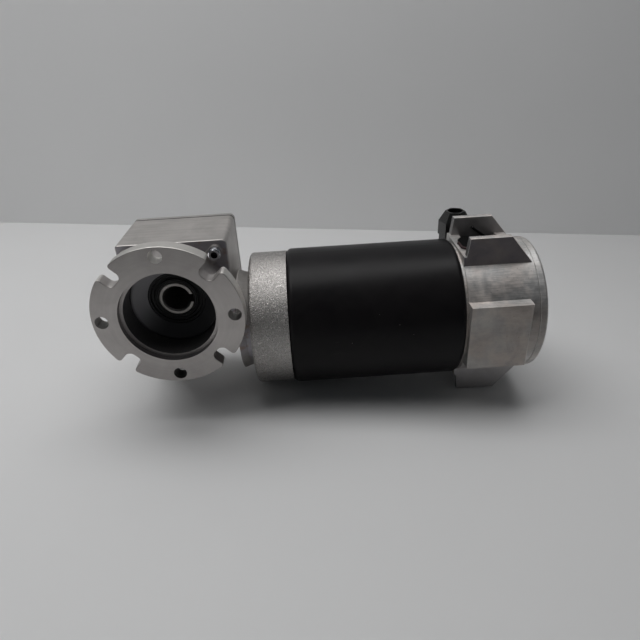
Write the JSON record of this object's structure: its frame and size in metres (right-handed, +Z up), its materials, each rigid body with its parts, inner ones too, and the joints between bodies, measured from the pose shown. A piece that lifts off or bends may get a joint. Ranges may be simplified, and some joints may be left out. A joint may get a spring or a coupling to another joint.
{
  "type": "worm gearmotor",
  "caption": "Right-angle worm gearmotor: black tube DC motor with cast end bells, square worm gearbox, keyed hollow output shaft and round slotted output flange.",
  "frame": {"origin": "centre of the output flange front face, on the output shaft axis", "axes": "+X along the motor axis towards the motor rear end, +Y from the flange face into the gearbox, +Z up"},
  "size_m": [0.3119, 0.1193, 0.1554],
  "materials": {
    "cast_aluminium": "sand-cast, satin",
    "machined_aluminium": "turned, fine satin",
    "black_enamel": "satin black enamel",
    "zinc_plated_steel": "bright zinc",
    "ground_steel": "ground",
    "plain_steel": "stamped",
    "bearing_steel": "polished",
    "wheel_bronze": "machined bronze",
    "lamination_steel": "stacked sheet",
    "copper_wire": "enamelled copper",
    "ferrite": "sintered ferrite",
    "seal_rubber": "matt black rubber",
    "gasket_paper": "grey gasket paper",
    "black_nylon": "moulded black nylon",
    "carbon_brush": "pressed carbon",
    "spring_steel": "bright spring wire",
    "black_lead": "black insulation",
    "red_lead": "red insulation"
  },
  "bodies": {
    "housing": {"bell_screws": "zinc_plated_steel", "brush_cap_bottom": "black_nylon", "brush_cap_top": "black_nylon", "brush_holder_bottom": "black_nylon", "brush_holder_top": "black_nylon", "brush_spring_bottom": "spring_steel", "brush_spring_top": "spring_steel", "field_magnets": "ferrite", "flange_screws": "zinc_plated_steel", "gearbox_housing": "cast_aluminium", "gland_body": "black_nylon", "gland_nut": "black_nylon", "gland_seal": "seal_rubber", "input_seal": "seal_rubber", "motor_bearing_front_outer": "bearing_steel", "motor_bearing_rear_outer": "bearing_steel", "motor_front_bell": "cast_aluminium", "motor_lead_black": "black_lead", "motor_lead_red": "red_lead", "motor_tube": "black_enamel", "output_bearing_front_outer": "bearing_steel", "output_bearing_rear_outer": "bearing_steel", "output_end_cap": "seal_rubber", "output_flange": "machined_aluminium", "output_seal_front": "seal_rubber", "rear_cap": "cast_aluminium", "rear_cap_screws": "zinc_plated_steel", "rear_cover": "cast_aluminium", "rear_cover_gasket": "gasket_paper", "rear_cover_screws": "zinc_plated_steel", "rear_end_bell": "cast_aluminium", "through_bolts": "zinc_plated_steel", "wave_washer": "ground_steel", "worm_bearing_left_outer": "bearing_steel", "worm_bearing_right_outer": "bearing_steel", "worm_end_cap": "plain_steel"},
    "rotor": {"worm_shaft": "ground_steel", "worm_bearing_left_inner": "bearing_steel", "worm_bearing_right_inner": "bearing_steel", "coupling_sleeve": "ground_steel", "motor_shaft": "ground_steel", "armature_core": "lamination_steel", "armature_windings": "copper_wire", "commutator": "copper_wire", "motor_bearing_front_inner": "bearing_steel", "motor_bearing_rear_inner": "bearing_steel"},
    "output_shaft": {"hollow_output_shaft": "ground_steel", "worm_wheel_rim": "wheel_bronze", "output_bearing_front_inner": "bearing_steel", "output_bearing_rear_inner": "bearing_steel"},
    "brush_top": {"brush_top": "carbon_brush"},
    "brush_bottom": {"brush_bottom": "carbon_brush"},
    "output_bearing_front_balls": {"output_bearing_front_balls": "bearing_steel"},
    "output_bearing_rear_balls": {"output_bearing_rear_balls": "bearing_steel"},
    "worm_bearing_left_balls": {"worm_bearing_left_balls": "bearing_steel"},
    "worm_bearing_right_balls": {"worm_bearing_right_balls": "bearing_steel"},
    "motor_bearing_front_balls": {"motor_bearing_front_balls": "bearing_steel"},
    "motor_bearing_rear_balls": {"motor_bearing_rear_balls": "bearing_steel"}
  },
  "joints": [
    {"name": "rotor_spin", "type": "hinge", "parent": "housing", "child": "rotor", "pos_m": [0, 0.0659, -0.04], "axis": [1, 0, 0], "continuous": true},
    {"name": "output_spin", "type": "hinge", "parent": "housing", "child": "output_shaft", "pos_m": [0, 0.0659, 0], "axis": [0, 1, 0], "continuous": true},
    {"name": "brush_top_slide", "type": "slide", "parent": "housing", "child": "brush_top", "axis": [0, 0, 1], "range_m": [0, 0.004], "stiffness_N_per_m": 250, "springref_m": -0.012, "deforming": ["brush_spring_top"]},
    {"name": "brush_bottom_slide", "type": "slide", "parent": "housing", "child": "brush_bottom", "axis": [0, 0, -1], "range_m": [0, 0.004], "stiffness_N_per_m": 250, "springref_m": -0.012, "deforming": ["brush_spring_bottom"]},
    {"name": "output_bearing_front_roll", "type": "hinge", "parent": "housing", "child": "output_bearing_front_balls", "pos_m": [0, 0.0429, 0], "axis": [0, 1, 0], "continuous": true},
    {"name": "output_bearing_rear_roll", "type": "hinge", "parent": "housing", "child": "output_bearing_rear_balls", "pos_m": [0, 0.0815, 0], "axis": [0, 1, 0], "continuous": true},
    {"name": "worm_bearing_left_roll", "type": "hinge", "parent": "housing", "child": "worm_bearing_left_balls", "pos_m": [-0.0302, 0.0659, -0.04], "axis": [1, 0, 0], "continuous": true},
    {"name": "worm_bearing_right_roll", "type": "hinge", "parent": "housing", "child": "worm_bearing_right_balls", "pos_m": [0.0302, 0.0659, -0.04], "axis": [1, 0, 0], "continuous": true},
    {"name": "motor_bearing_front_roll", "type": "hinge", "parent": "housing", "child": "motor_bearing_front_balls", "pos_m": [0.0675, 0.0659, -0.04], "axis": [1, 0, 0], "continuous": true},
    {"name": "motor_bearing_rear_roll", "type": "hinge", "parent": "housing", "child": "motor_bearing_rear_balls", "pos_m": [0.2437, 0.0659, -0.04], "axis": [1, 0, 0], "continuous": true}
  ],
  "couplings": [
    {"joint": "output_spin", "follows": "rotor_spin", "ratio": 0.033333},
    {"joint": "output_bearing_front_roll", "follows": "rotor_spin", "ratio": 0.01408},
    {"joint": "output_bearing_rear_roll", "follows": "rotor_spin", "ratio": 0.01408},
    {"joint": "worm_bearing_left_roll", "follows": "rotor_spin", "ratio": 0.38},
    {"joint": "worm_bearing_right_roll", "follows": "rotor_spin", "ratio": 0.38},
    {"joint": "motor_bearing_front_roll", "follows": "rotor_spin", "ratio": 0.372},
    {"joint": "motor_bearing_rear_roll", "follows": "rotor_spin", "ratio": 0.372}
  ]
}
